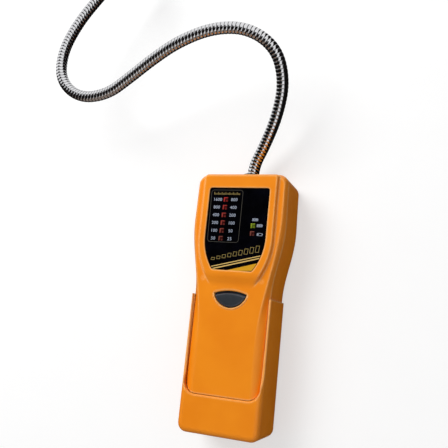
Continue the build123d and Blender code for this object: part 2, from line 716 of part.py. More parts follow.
def sensor_cap(path):
    """Screwed cap with side slots, end holes and a spigot inside the barrel."""
    top = TIP_CAP_START + TIP_CAP
    cap = post(0, 0, TIP_R, TIP_CAP_START, top)
    cap = chamfer(cap.edges().group_by(Axis.Z)[-1], TIP_WALL)
    spigot = TIP_BORE_R - SEAT / 2
    cap += post(0, 0, spigot, TIP_CAP_START - TIP_SPIGOT, TIP_CAP_START)
    cap -= post(0, 0, spigot - TIP_WALL, TIP_CAP_START - TIP_SPIGOT, top - TIP_WALL)
    for place in PolarLocations(TIP_R, TIP_SLOTS):
        cap -= Pos(0, 0, TIP_CAP_START + TIP_CAP / 2 - SCREEN_THICK) * place * Box(
            4 * TIP_WALL, TIP_SLOT_WIDTH, TIP_SLOT_LENGTH)
    for place in PolarLocations(TIP_HOLE_RING, TIP_SLOTS - 2):
        cap -= place * post(0, 0, TIP_HOLE_R, top - TIP_WALL, top)
    return tip_frame(path) * (cap - post(0, 0, TIP_HOLE_R, top - TIP_WALL, top))


def sensor_screen(path):
    """Flame-arresting disc under the cap's end."""
    top = TIP_CAP_START + TIP_CAP - TIP_WALL
    return tip_frame(path) * post(0, 0, TIP_BORE_R - SEAT / 2 - TIP_WALL, top - SCREEN_THICK, top)


def sensor_socket(path):
    """Socket in the barrel with a hole for each of the element's pins."""
    socket = post(0, 0, TIP_BORE_R - SEAT / 2, SOCKET_START, SOCKET_START + SOCKET_TALL)
    for place in PolarLocations(PIN_RING, 3):
        socket -= place * post(0, 0, PIN_R + SEAT / 4, SOCKET_START + 1, SOCKET_START + SOCKET_TALL)
    return tip_frame(path) * socket


def sensor_element(path):
    """Sensing element: a can on three pins."""
    low = SOCKET_START + SOCKET_TALL
    element = post(0, 0, ELEMENT_R, low, low + ELEMENT_TALL)
    element = chamfer(element.edges().group_by(Axis.Z)[-1], 2 * SEAT)
    for place in PolarLocations(PIN_RING, 3):
        element += place * post(0, 0, PIN_R, low - PIN_LENGTH, low)
    return tip_frame(path) * element


def build():
    """Every sub-part by its node's name."""
    path = neck_path()
    parts = {
        "front_cover": front_cover(),
        "rear_case": rear_case(),
        "battery_cover": battery_cover(),
        "label_panel": label_panel(),
        "power_button": power_button(),
        "switch_body": switch_body(),
        "switch_plunger": switch_plunger(),
        "main_board": main_board(),
        "board_screws": board_screws(),
        "case_screws": case_screws(),
        "buzzer": buzzer(),
        "control_chip": control_chip(),
        "sensor_plug": sensor_plug(),
        "battery_holder": battery_holder(),
        "battery_springs": Compound([leaf_spring(*place) for place in cell_places()]),
        "battery_plates": Compound([contact_plate(*place) for place in cell_places()]),
        "neck_bushing": neck_bushing(),
        "neck_nut": neck_nut(),
        "neck_crimp": neck_crimp(),
        "gooseneck": gooseneck(path),
        "sensor_lead": sensor_lead(path),
        "sensor_housing": sensor_housing(path),
        "sensor_socket": sensor_socket(path),
        "sensor_element": sensor_element(path),
        "sensor_screen": sensor_screen(path),
        "sensor_cap": sensor_cap(path),
    }
    parts.update({name: light(*place) for name, place in led_places().items()})
    parts.update({f"battery_{i + 1}": battery(*place) for i, place in enumerate(cell_places())})
    return parts


os.makedirs("parts", exist_ok=True)
for node, shape in build().items():
    export_step(shape, f"parts/{node}.step")
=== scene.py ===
"""The looks of a hand-held combustible gas detector, lying on its back.

Everything is in metres in the part's own frame: the origin is the middle of the foot's
underside, +Y runs up the handle to the neck, +Z comes out of the display. The sizes of
its own pieces are written in millimetres and become metres where a mesh is made.
"""

import bpy
import numpy as np
from mathutils import Matrix, Vector


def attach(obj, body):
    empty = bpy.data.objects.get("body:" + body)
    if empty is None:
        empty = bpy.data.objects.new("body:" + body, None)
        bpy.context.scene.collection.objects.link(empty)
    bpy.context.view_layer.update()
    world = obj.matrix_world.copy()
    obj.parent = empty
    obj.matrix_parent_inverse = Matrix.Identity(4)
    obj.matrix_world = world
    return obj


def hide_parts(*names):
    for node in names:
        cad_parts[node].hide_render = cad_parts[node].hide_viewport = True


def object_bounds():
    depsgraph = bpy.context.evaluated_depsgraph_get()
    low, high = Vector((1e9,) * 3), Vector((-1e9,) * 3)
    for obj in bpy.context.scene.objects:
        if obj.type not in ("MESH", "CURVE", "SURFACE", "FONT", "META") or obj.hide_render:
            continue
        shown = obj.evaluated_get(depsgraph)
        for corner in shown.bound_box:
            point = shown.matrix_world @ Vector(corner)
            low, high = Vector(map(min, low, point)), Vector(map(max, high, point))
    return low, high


MM = 0.001

# Camera, from the photograph's viewing angle: place in metres, lens in millimetres
CAMERA_PLACE = Vector((0.1492, 0.0711, 0.4289))
CAMERA_AIM = Vector((-0.3579, 0.1785, -0.9166))
CAMERA_RIGHT = Vector((0.9332, 0.1017, -0.3446))
CAMERA_LENS = 48.21
CAMERA_FILM = 36.0
CAMERA_NEAR = 0.01

# Studio: places and sizes in metres, power in watts
FLOOR_HALF = 3.0
FLOOR_GLOW = 0.53
SKY_STRENGTH = 0.36
LIGHT_AIM = Vector((0.0, 0.15, 0.0))
KEY_PLACE = Vector((-0.55, 0.75, 0.95))
KEY_SIZE = 0.8
KEY_POWER = 13.0
FILL_PLACE = Vector((0.5, 0.1, 1.2))
FILL_SIZE = 1.0
FILL_POWER = 1.2

# What metal and gloss reflect, by direction: x right, y up and z towards the camera.
# A pair is the value where a thing starts to show and the value where it shows in full.
DARK_TONE = (16, 14, 13)
PALE_TONE = (255, 255, 255)
TABLE_TONE = (138, 126, 117)
BACKDROP_LOW = (0.14, 0.26)
BACKDROP_RIGHT = (0.5, 0.45)
TABLE_HIGH = (-0.62, -0.72)
TABLE_FAR = (-0.75, -0.55)
TABLE_RIGHT = (0.28, 0.2)
WINDOW_LEFT = (-0.15, -0.09)
WINDOW_RIGHT = (0.45, 0.39)
WINDOW_LOW = (-0.88, -0.82)
WINDOW_DEEP = (0.5, 0.55)
WINDOW_LEAN = 0.4
WINDOW_HINGE = -0.2
FLAG_WAY = (-0.68, 0.36, 0.64)
FLAG_EDGE = (0.9324, 0.9662)

# Finishes: sizes in millimetres, but for the spans and the board's brick pattern
NOISE_SPAN = (0.3, 0.7)
EDGE_SPAN = (1.0, 0.94)
SHELL_FLOW = 26.0
SHELL_SEAM = 0.8
# Width of the shell's pale edges, partly wear and partly painted highlight
SHELL_RUB_AND_SHEEN = 2.0
SHELL_ROUND = 1.4
SHELL_GRAIN = 0.35
FINE_GRAIN = 0.02
POLISH_MARKS = 0.01
BOARD_TRACKS = 160.0
TRACK_WIDTH = 0.03
SCREEN_PITCH = 0.5

# Wound neck: places along its middle line, its sizes, and its ribs and grooves, whose
# shares and painted groove shade are given along one pitch from 0 to 1
NECK_START = (0.0, 177.0, -5.0)
NECK_STRAIGHT = (0.0, 182.0, -5.0)     # keeps the line straight through the bushing
NECK_EXIT = (0.0, 190.0, -5.0)
NECK_ROUTE = (
    (0, 13, 0), (10, 28, 7), (22, 48, 20), (28, 70, 31), (23, 91, 43), (3, 103, 53),
    (-23, 103, 57), (-50, 95, 56), (-73, 85, 51), (-96, 73, 45), (-118, 62, 40),
    (-144, 60, 40), (-164, 75, 42), (-168, 101, 41), (-160, 128, 38), (-146, 152, 35),
    (-130, 174, 32),
)
NECK_SMOOTH = 32
NECK_GLANCE = 0.5
NECK_RADIUS = 4.6
RIB_PITCH = 2.8
RIB_SHARES = np.array((0.0, 0.05, 0.12, 0.28, 0.5, 0.72, 0.88, 0.95))
RIB_STEPS = len(RIB_SHARES)
RIB_CROWN = 0.14
GROOVE_DEPTH = 0.2
GROOVE_SHARE = 0.07
GROOVE_SHADE = (0.03, 0.1)
ROUND_STEPS = 36

# Label: its face and outline, and how its ink lies on it
LABEL_FACE = 22.3
LABEL_HALF = 23.4
LABEL_BEND = 141.0
LABEL_RADIUS = 41.4
LABEL_FOOT = 116.4
INK_THICK = 0.04
INK_SUNK = 0.02
EDGE_GAP = 0.5

# Line round the column of lights
FRAME_LINE = 0.35
FRAME_CORNERS = ((-22.0, 176.2), (2.9, 176.2), (2.9, 136.8), (-21.4, 136.8))
FRAME_ROUND = 2.2
CORNER_STEPS = 6

# Ruler over the columns of numbers
TICK_COUNT = 21
TICK_START = (-19.6, 172.6)
TICK_PITCH = 1.0
TICK_WIDTH = 0.5
TICK_SHORT = 1.2
TICK_TALL = 2.0
TICK_GROUP = 3

# Columns of numbers
SCALE_LEFT = ("1600", "800", "400", "200", "100", "50")
SCALE_RIGHT = ("800", "400", "200", "100", "50", "25")
SCALE_LEFT_X = -16.6
SCALE_LEFT_SLIP = 0.1
SCALE_RIGHT_X = -3.4
SCALE_RIGHT_SLIP = 0.15
SCALE_TOP_Y = 168.8
SCALE_PITCH = 5.9
FIGURE_HEIGHT = 2.3
FIGURE_SHARE = 0.7
FIGURE_WEIGHT = 0.012
FIGURE_SPACING = 1.08
FIGURE_STEPS = 4

# Rising bars, stripes and wedge across the label's foot
BAR_COUNT = 9
BAR_START = (-15.6, 123.4)
BAR_END = (17.8, 130.4)
BAR_WIDTH = 2.5
BAR_SHORT = 1.6
BAR_TALL = 4.6
BAR_LEAN = 0.1
BAR_LINE = 0.38
STRIPES = ((-17.0, 117.8, 21.4, 127.75, 0.7), (-15.6, 116.2, 21.2, 125.95, 0.9))
STRIPE_ROUNDS = 4
WEDGE_START = (-6.0, 115.6)
WEDGE_TOP = 122.4
WEDGE_STEPS = 10

# Signs of a cell: middle and charge of each, then the half sides, nub and charge bars
CELL_MARKS = ((14.2, 154.2, 3), (18.0, 149.9, 3), (18.6, 143.4, 1))
CELL_HALF = (1.9, 0.85)
CELL_LINE = 0.28
NUB_GAP = 0.3
NUB_SIDES = (0.35, 0.8)
CHARGE_GAP = 0.75
CHARGE_PITCH = 1.15
CHARGE_SIDES = (0.75, 1.0)

# Lights behind the label: places, side, and colours in screen values; the top, foot and border
# colours are those of the painted highlight
LED_COUNT = 6
LED_TOP = (-10.0, 168.9)
LED_STEP = (-0.2, -5.88)
LED_GREEN = (13.0, 149.7)
LED_RED = (13.0, 144.0)
LED_SIDE = 3.4
RED_TOP = (176, 46, 42)
RED_FOOT = (122, 66, 56)
RED_CORE = (46, 6, 6)
GREEN_BORDER = (138, 154, 36)
GREEN_CORE = (70, 86, 10)

# Button: its place and the two arcs of its half-moon, with the rings of its cap, each as
# the width that it steps in and its height
BUTTON_PLACE = (0.0, 99.3)
BUTTON_HALF = 12.2
BUTTON_RISE = 2.1
BUTTON_FALL = 9.5
BUTTON_DROP = 1.2
MOON_STEPS = 40
CAP_RINGS = (
    (-1.3, 16.0), (-1.3, 16.9), (0.25, 16.9), (0.25, 19.85),
    (0.37, 20.05), (1.0, 20.55), (1.25, 20.6), (3.25, 20.68),
)

# Bead round the button's hole
COVER_FACE = 20.0
LIP_GAP = 0.4
LIP_WIDE = 1.3
LIP_TALL = 0.42
LIP_ROOT = 0.3
LIP_STEPS = 7
LIP_FADE = 0.2
LIP_FADE_LONG = 2.4
LIP_SUNK = 0.08


def tone(red, green, blue):
    """A colour in screen values from 0 to 255, as the linear values that a shader takes."""
    screen = np.array((red, green, blue)) / 255.0
    linear = np.where(screen <= 0.04045, screen / 12.92, ((screen + 0.055) / 1.055) ** 2.4)
    return (*map(float, linear), 1.0)


class NodeBench:
    """A node tree with short calls for the nodes that several shaders share."""

    def __init__(self, tree):
        self.tree = tree

    def add(self, kind, **settings):
        """One new node with its settings."""
        node = self.tree.nodes.new(kind)
        for key, value in settings.items():
            setattr(node, key, value)
        return node

    def feed(self, socket, value):
        """Links an output to a socket, or sets the socket to a number or colour."""
        if isinstance(value, bpy.types.NodeSocket):
            self.tree.links.new(value, socket)
        else:
            socket.default_value = value

    def math(self, operation, first, second=0.0):
        """One sum on two values."""
        node = self.add("ShaderNodeMath", operation=operation)
        self.feed(node.inputs[0], first)
        self.feed(node.inputs[1], second)
        return node.outputs[0]

    def product(self, first, *others):
        """Several values multiplied together."""
        for other in others:
            first = self.math("MULTIPLY", first, other)
        return first

    def ramp(self, value, low, high, to_low=0.0, to_high=1.0):
        """Maps low..high to to_low..to_high, held at both ends."""
        node = self.add("ShaderNodeMapRange")
        self.feed(node.inputs["Value"], value)
        keys = ("From Min", "From Max", "To Min", "To Max")
        for key, number in zip(keys, (low, high, to_low, to_high)):
            node.inputs[key].default_value = number
        return node.outputs["Result"]

    def mix(self, factor, first, second):
        """A colour between two colours."""
        node = self.add("ShaderNodeMix", data_type="RGBA")
        self.feed(node.inputs["Factor"], factor)
        self.feed(node.inputs[6], first)
        self.feed(node.inputs[7], second)
        return node.outputs[2]

    def dot(self, first, second):
        """How far one direction points along another, from -1 to 1."""
        node = self.add("ShaderNodeVectorMath", operation="DOT_PRODUCT")
        self.feed(node.inputs[0], first)
        self.feed(node.inputs[1], second)
        return node.outputs["Value"]

    def split(self, vector):
        """The X, Y and Z of a vector."""
        node = self.add("ShaderNodeSeparateXYZ")
        self.feed(node.inputs[0], vector)
        return node.outputs


class Finish(NodeBench):
    """A material that starts from one shader."""

    def __init__(self, name, roughness, metallic=0.0):
        self.material = bpy.data.materials.new(name)
        self.material.use_nodes = True
        super().__init__(self.material.node_tree)
        self.shader = self.tree.nodes["Principled BSDF"]
        self.shader.inputs["Roughness"].default_value = roughness
        self.shader.inputs["Metallic"].default_value = metallic
        self.place = self.add("ShaderNodeTexCoord").outputs["Object"]

    def moved(self, centre):
        """Object coordinates with their zero at a place given in millimetres."""
        node = self.add("ShaderNodeMapping")
        self.feed(node.inputs["Vector"], self.place)
        node.inputs["Location"].default_value = [-value * MM for value in centre]
        return node.outputs["Vector"]

    def noise(self, size, detail=3.0):
        """Cloudy noise from 0 to 1 whose blotches are about size millimetres wide."""
        node = self.add("ShaderNodeTexNoise")
        self.feed(node.inputs["Vector"], self.place)
        node.inputs["Scale"].default_value = 1.0 / (size * MM)
        node.inputs["Detail"].default_value = detail
        return node.outputs["Fac"]

    def clouds(self, size, dark, light, detail=3.0):
        """A colour that drifts between two, in clouds about size millimetres wide."""
        return self.mix(self.noise(size, detail), dark, light)

    def patches(self, size, low, high, detail=4.0):
        """A value that drifts between two, in patches about size millimetres wide."""
        return self.ramp(self.noise(size, detail), *NOISE_SPAN, low, high)

    def rounded(self, width):
        """The surface's normal as if its edges were rounded to width millimetres."""
        node = self.add("ShaderNodeBevel", samples=6)
        node.inputs["Radius"].default_value = width * MM
        return node.outputs["Normal"]

    def edges(self, width):
        """1 at edges and corners, falling to 0 about width millimetres away from them."""
        true_normal = self.add("ShaderNodeNewGeometry").outputs["Normal"]
        return self.ramp(self.dot(self.rounded(width), true_normal), *EDGE_SPAN)

    def openness(self, reach):
        """1 where nothing stands within reach millimetres, down to 0 deep in a seam."""
        node = self.add("ShaderNodeAmbientOcclusion", samples=8)
        node.inputs["Distance"].default_value = reach * MM
        return node.outputs["AO"]

    def bump(self, height, depth, strength, normal=None):
        """Relief of depth millimetres where height goes from 0 to 1, on a given normal."""
        node = self.add("ShaderNodeBump")
        if normal is not None:
            self.feed(node.inputs["Normal"], normal)
        node.inputs["Strength"].default_value = strength
        node.inputs["Distance"].default_value = depth * MM
        self.feed(node.inputs["Height"], height)
        self.feed(self.shader.inputs["Normal"], node.outputs["Normal"])

    def colour(self, value):
        """The base colour."""
        self.feed(self.shader.inputs["Base Color"], value)

    def rough(self, value):
        """The roughness where it varies over the surface."""
        self.feed(self.shader.inputs["Roughness"], value)

    def mirror(self, level):
        """How strongly the surface mirrors, where plain plastic is 0.5."""
        self.shader.inputs["Specular IOR Level"].default_value = level


def orange_plastic():
    """Satin moulded plastic: spark-eroded grain, flow clouds, pale edges of wear and painted
    highlight, painted seam shade.
    """
    finish = Finish("satin_orange_plastic", 0.42)
    flow = finish.ramp(finish.noise(SHELL_FLOW, detail=2.0), 0.35, 0.65)
    body = finish.mix(flow, tone(241, 136, 6), tone(246, 143, 12))
    air = finish.openness(SHELL_SEAM)
    uneven = finish.ramp(finish.noise(3.0), 0.3, 0.6, 0.7, 1.0)
    # Pale edges: partly rubbed wear, partly a painted highlight.
    rub_and_sheen = finish.product(finish.edges(SHELL_RUB_AND_SHEEN), uneven, finish.ramp(air, 0.45, 0.7))
    worn_and_sheen = finish.mix(rub_and_sheen, body, tone(255, 190, 114))
    # Painted shade: the surface darkens where it is hemmed in, in seams and creases.
    seam = finish.ramp(air, 0.6, 0.3, 0.0, 0.65)
    finish.colour(finish.mix(seam, worn_and_sheen, tone(120, 56, 6)))
    finish.rough(finish.patches(5.0, 0.34, 0.44))
    grain = finish.noise(SHELL_GRAIN, detail=2.0)
    finish.bump(grain, FINE_GRAIN, 0.25, finish.rounded(SHELL_ROUND))
    finish.mirror(0.4)
    return finish.material


def panel_plastic():
    """Glossy black printed panel with faint blue-black clouds and fine wipe marks."""
    finish = Finish("glossy_black_panel", 0.2)
    cloud = finish.ramp(finish.noise(9.0, detail=4.0), 0.4, 0.7)
    finish.colour(finish.mix(cloud, tone(2, 2, 4), tone(5, 5, 12)))
    finish.rough(finish.patches(4.0, 0.12, 0.2, detail=5.0))
    finish.bump(finish.noise(0.5), POLISH_MARKS, 0.15)
    finish.mirror(0.15)
    return finish.material


def slate_plastic():
    """The button's dark slate plastic: satin, with a painted highlight on its edges."""
    finish = Finish("satin_slate_plastic", 0.4)
    body = finish.clouds(4.0, tone(40, 44, 49), tone(48, 53, 59))
    # Painted highlight: the edges are paler.
    painted_edge_highlight = finish.product(finish.edges(0.6), 0.6)
    finish.colour(finish.mix(painted_edge_highlight, body, tone(120, 130, 148)))
    finish.rough(finish.patches(2.0, 0.28, 0.38))
    finish.bump(finish.noise(0.3), FINE_GRAIN, 0.2)
    return finish.material


def lamp_window(name, centre, border, core):
    """A small square window: a bracket of painted highlight on its left and top, and a dim lamp
    inside it.

    Places across and along it are in half sides from its middle. The bracket is what is
    left of -0.5 or above 0.6, the lamp is the lower right quarter, and the right edge
    lies in painted shade.
    """
    finish = Finish(name, 0.25)
    place = finish.split(finish.moved((*centre, LABEL_FACE)))
    across, along = place["X"], place["Y"]
    half = LED_SIDE * MM / 2
    left = finish.ramp(across, -0.3 * half, -0.7 * half)
    top = finish.ramp(along, 0.4 * half, 0.8 * half, 0.0, 0.9)
    lamp_side = finish.ramp(across, 0.0, 0.4 * half)
    lamp_low = finish.ramp(along, 0.0, -0.4 * half, 0.0, 0.4)
    shade = finish.ramp(across, 0.55 * half, 0.95 * half, 1.0, 0.35)
    # Painted highlight on the bracket, painted shade on the right edge.
    bracket = finish.math("MAXIMUM", left, top)
    lit = finish.math("MAXIMUM", bracket, finish.product(lamp_side, lamp_low))
    frost = finish.noise(0.7, detail=4.0)
    finish.colour(finish.mix(finish.product(lit, shade), tone(*core), tone(*border)))
    finish.rough(finish.ramp(frost, *NOISE_SPAN, 0.18, 0.3))
    finish.bump(frost, 0.03, 0.3)
    finish.mirror(0.2)
    return finish.material


def dull_plastic(name, dark, light, roughness):
    """Plain moulded plastic with a fine grain, for the pieces inside."""
    finish = Finish(name, roughness)
    finish.colour(finish.clouds(5.0, dark, light))
    finish.rough(finish.patches(2.0, roughness - 0.06, roughness + 0.06))
    finish.bump(finish.noise(0.3), FINE_GRAIN, 0.3)
    return finish.material


def bare_metal(name, dark, light, roughness, grain):
    """Plated metal with cloudy brightness and fine scratches grain millimetres apart."""
    finish = Finish(name, roughness, metallic=1.0)
    finish.colour(finish.clouds(3.0, dark, light, detail=5.0))
    finish.rough(finish.patches(1.2, roughness * 0.7, roughness * 1.3, detail=5.0))
    finish.bump(finish.noise(grain, detail=4.0), POLISH_MARKS, 0.2)
    return finish.material


def wound_chrome():
    """Chrome on the wound neck, with painted shade darkening the grooves between its ribs.

    The map named turns counts the turns in its Y, so a groove lies at each whole number.
    """
    finish = Finish("wound_chrome", 0.12, metallic=1.0)
    turns = finish.split(finish.add("ShaderNodeUVMap", uv_map="turns").outputs["UV"])
    from_groove = finish.math("PINGPONG", turns["Y"], 0.5)
    # Painted shade: the metal darkens towards each groove.
    groove_shade = finish.ramp(from_groove, *GROOVE_SHADE, 1.0, 0.0)
    metal = finish.clouds(4.0, tone(205, 205, 208), tone(232, 232, 234), detail=4.0)
    finish.colour(finish.mix(groove_shade, metal, tone(40, 35, 32)))
    finish.rough(finish.patches(0.8, 0.08, 0.2))
    finish.bump(finish.noise(0.4), POLISH_MARKS, 0.15)
    return finish.material


def circuit_board():
    """Green solder mask with copper tracks that show through as paler lines."""
    finish = Finish("green_circuit_board", 0.35)
    tracks = finish.add("ShaderNodeTexBrick")
    finish.feed(tracks.inputs["Vector"], finish.place)
    tracks.inputs["Scale"].default_value = BOARD_TRACKS
    tracks.inputs["Mortar Size"].default_value = TRACK_WIDTH
    body = finish.clouds(8.0, tone(10, 92, 52), tone(16, 108, 60))
    finish.colour(finish.mix(tracks.outputs["Fac"], body, tone(38, 138, 82)))
    finish.bump(tracks.outputs["Fac"], 0.03, 0.5)
    return finish.material


def cell_jacket():
    """Dark grey film over a cell's metal can, faintly cloudy."""
    finish = Finish("cell_jacket_film", 0.3, metallic=0.6)
    finish.colour(finish.clouds(6.0, tone(54, 56, 60), tone(70, 72, 78), detail=4.0))
    finish.rough(finish.patches(6.0, 0.25, 0.36))
    finish.bump(finish.noise(0.5), POLISH_MARKS, 0.2)
    return finish.material


def woven_screen():
    """Fine woven steel mesh as crossed wires in relief, the greater of two sine waves; painted
    shade fills the hollows.
    """
    finish = Finish("woven_steel_screen", 0.35, metallic=1.0)
    place = finish.split(finish.place)
    waves = []
    for axis in ("X", "Y"):
        turn = finish.product(place[axis], 2 * np.pi / (SCREEN_PITCH * MM))
        waves.append(finish.math("ABSOLUTE", finish.math("SINE", turn)))
    wire = finish.math("MAXIMUM", *waves)
    # Painted shade: darker in the hollows between the wires.
    finish.colour(finish.mix(wire, tone(60, 60, 62), tone(190, 190, 194)))
    finish.bump(wire, 0.15, 0.8)
    return finish.material


def ink(name, dark, light):
    """Screen-printed ink: matt, faintly uneven."""
    finish = Finish(name, 0.55)
    finish.colour(finish.clouds(0.8, dark, light, detail=4.0))
    finish.rough(finish.patches(0.6, 0.5, 0.62, detail=3.0))
    finish.bump(finish.noise(0.2), POLISH_MARKS, 0.2)
    return finish.material


def in_scene(name, data):
    """A new object that holds the data, linked to the scene."""
    thing = bpy.data.objects.new(name, data)
    bpy.context.scene.collection.objects.link(thing)
    return thing


def new_mesh(name, points, faces):
    """A mesh from points in millimetres and a list or array of faces."""
    mesh = bpy.data.meshes.new(name)
    mesh.from_pydata(np.asarray(points) * MM, [], [list(map(int, face)) for face in faces])
    return mesh


def new_piece(name, mesh, finish, body):
    """A piece of one finish that rides on a body."""
    mesh.materials.append(finish)
    piece = in_scene(name, mesh)
    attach(piece, body)
    return piece


def spline_points(route):
    """Points along the smooth line of a route, read back from its quadratic spline."""
    curve = bpy.data.curves.new("neck_line", "CURVE")
    curve.dimensions = "3D"
    spline = curve.splines.new("NURBS")
    spline.points.add(len(route) - 1)
    spline.points.foreach_set("co", np.column_stack((route, np.ones(len(route)))).ravel())
    spline.order_u = 3
    spline.use_endpoint_u = True
    spline.resolution_u = NECK_SMOOTH
    line = bpy.data.objects.new("neck_line", curve)
    mesh = bpy.data.meshes.new_from_object(line)
    points = np.zeros(len(mesh.vertices) * 3)
    mesh.vertices.foreach_get("co", points)
    bpy.data.objects.remove(line)
    bpy.data.curves.remove(curve)
    bpy.data.meshes.remove(mesh)
    return points.reshape(-1, 3)


def on_line(distance, run, line):
    """Points at given distances along a line whose points lie at the distances in run."""
    return np.stack([np.interp(distance, run, line[:, axis]) for axis in range(3)], axis=-1)


def turns_map(mesh, wound):
    """Map of the wound wall: X is the share of the way round, Y the turns wound so far."""
    j = np.arange(ROUND_STEPS)
    around = np.stack((j, j, j + 1, j + 1), axis=-1) / ROUND_STEPS
    turns = np.stack((wound[:-1], wound[1:], wound[1:], wound[:-1]), axis=-1)
    corners = np.stack(np.broadcast_arrays(around[None], turns[:, None]), axis=-1).ravel()
    values = np.zeros(len(mesh.loops) * 2)
    values[: len(corners)] = corners
    mesh.uv_layers.new(name="turns").data.foreach_set("uv", values)


def wound_tube(finish):
    """The gooseneck: a tube wound from round wire.

    Column j of m goes round at angle 2 pi j / m. A row at share u of turn t lies at
    pitch (t + u + j / m) along the line, so that it climbs one pitch a turn and meets the
    same row of the next turn. The radius is R - c (2 u - 1)^2, less a groove at u = 0.
    A fan of triangles from the line's own end closes each end.
    """
    corners = [np.add(NECK_EXIT, corner) for corner in NECK_ROUTE]
    line = spline_points(np.array([NECK_START, NECK_STRAIGHT] + corners))
    steps = np.linalg.norm(np.diff(line, axis=0), axis=1)
    run = np.concatenate(([0.0], np.cumsum(steps)))
    turns = int(run[-1] / RIB_PITCH) - 1
    pitch = run[-1] / (turns + 1)
    rows = turns * RIB_STEPS + 1
    k, j = np.meshgrid(np.arange(rows), np.arange(ROUND_STEPS), indexing="ij")
    share = RIB_SHARES[k % RIB_STEPS]
    wound = k // RIB_STEPS + share
    along = pitch * (wound + j / ROUND_STEPS)
    tangent = on_line(along + NECK_GLANCE, run, line) - on_line(along - NECK_GLANCE, run, line)
    tangent /= np.linalg.norm(tangent, axis=-1, keepdims=True)
    side = np.cross(tangent, (0.0, 0.0, 1.0))
    side /= np.linalg.norm(side, axis=-1, keepdims=True)
    up = np.cross(side, tangent)
    angle = 2 * np.pi * j / ROUND_STEPS
    out = np.cos(angle)[..., None] * side + np.sin(angle)[..., None] * up
    groove = np.clip(1.0 - np.minimum(share, 1.0 - share) / GROOVE_SHARE, 0.0, 1.0)
    radius = NECK_RADIUS - RIB_CROWN * (2.0 * share - 1.0) ** 2 - GROOVE_DEPTH * groove
    points = (on_line(along, run, line) + radius[..., None] * out).reshape(-1, 3)

    grid = k * ROUND_STEPS + j
    wrapped = np.concatenate((grid[:-RIB_STEPS], grid[RIB_STEPS:, :1]), axis=1)
    near, far = wrapped[:-1], wrapped[1:]
    walls = np.stack((near[:, :-1], far[:, :-1], far[:, 1:], near[:, 1:]), axis=-1)
    last = rows - 1 - RIB_STEPS
    first_rim = np.concatenate((grid[0], grid[RIB_STEPS:0:-1, 0]))
    last_rim = np.concatenate((grid[last], grid[rows - 1:last:-1, 0]))
    first_end = np.full(len(first_rim), len(points))
    last_end = np.full(len(last_rim), len(points) + 1)
    fans = [
        np.column_stack((first_rim, np.roll(first_rim, -1), first_end)),
        np.column_stack((np.roll(last_rim, -1), last_rim, last_end)),
    ]
    faces = walls.reshape(-1, 4).tolist() + np.vstack(fans).tolist()
    mesh = new_mesh("wound_neck", np.vstack((points, line[0], line[-1])), faces)
    mesh.shade_smooth()
    turns_map(mesh, wound[: len(wrapped), 0])
    piece = new_piece("wound_neck", mesh, finish, "neck")
    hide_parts("gooseneck")


def half_moon(inset, drop=0.0):
    """Points round the button: a shallow arc over a deep one that share two corners.

    An arc of half chord a and rise b has the radius (a a + b b) / (2 b). The inset takes
    the same width off both arcs, and the drop lowers the shallow one.
    """
    radii = [(BUTTON_HALF**2 + rise**2) / (2 * rise) for rise in (BUTTON_RISE, BUTTON_FALL)]
    upper, lower = (radius - inset for radius in radii)
    over = BUTTON_RISE - inset - drop - upper
    under = lower + inset - BUTTON_FALL
    corner = (upper**2 - lower**2 + under**2 - over**2) / (2 * (under - over))
    half = np.sqrt(upper**2 - (corner - over) ** 2)
    high = np.linspace(-1.0, 1.0, MOON_STEPS) * np.arctan2(half, corner - over)
    deep = np.linspace(1.0, -1.0, MOON_STEPS)[1:-1] * np.arctan2(half, under - corner)
    top = np.column_stack((upper * np.sin(high), over + upper * np.cos(high)))
    foot = np.column_stack((lower * np.sin(deep), under - lower * np.cos(deep)))
    return np.vstack((top, foot))[::-1] + BUTTON_PLACE


def button_cap(finish):
    """The half-moon button: its flange, straight sides, a narrow bevel and a crowned top.

    It is a stack of half-moons, walls between them and a face over each end.
    """
    moons = [(half_moon(inset, BUTTON_DROP), height) for inset, height in CAP_RINGS]
    rings = [np.column_stack((moon, np.full(len(moon), height))) for moon, height in moons]
    rows, count = len(rings), len(rings[0])
    grid = np.arange(rows * count).reshape(rows, count)
    low, high = grid[:-1], grid[1:]
    walls = np.stack((low, np.roll(low, -1, axis=1), np.roll(high, -1, axis=1), high), axis=-1)
    faces = walls.reshape(-1, 4).tolist() + [grid[0, ::-1].tolist(), grid[-1].tolist()]
    mesh = new_mesh("button_cap", np.vstack(rings), faces)
    piece = new_piece("button_cap", mesh, finish, "button")
    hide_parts("power_button")


def button_lip(finish):
    """Raised bead moulded round the button's hole, sunk into the cover along the top.

    Its section goes from one root over half a sine wave to the other root, and is carried
    round the half-moon. The wave's height fades out where the deep arc gives way to the
    shallow one.
    """
    turn = np.linspace(0.0, np.pi, LIP_STEPS)
    inset = -LIP_GAP - LIP_WIDE * (1 - np.cos(turn)) / 2
    inset = np.concatenate((inset[:1], inset, inset[-1:]))
    rise = np.concatenate(([-LIP_ROOT], LIP_TALL * np.sin(turn), [-LIP_ROOT]))
    rings = []
    for step, height in zip(inset, rise):
        moon = half_moon(step)
        full = np.clip((LIP_FADE + BUTTON_PLACE[1] - moon[:, 1]) / LIP_FADE_LONG, 0.0, 1.0)
        above = max(height, 0.0) * full - LIP_SUNK * (1.0 - full)
        rings.append(np.column_stack((moon, COVER_FACE + above + min(height, 0.0))))
    rows, count = len(rings), len(rings[0])
    low = np.arange(rows * count).reshape(rows, count)
    high = np.roll(low, -1, axis=0)
    faces = np.stack((low, high, np.roll(high, -1, axis=1), np.roll(low, -1, axis=1)), axis=-1)
    mesh = new_mesh("button_lip", np.vstack(rings), faces.reshape(-1, 4))
    new_piece("button_lip", mesh, finish, "housing")


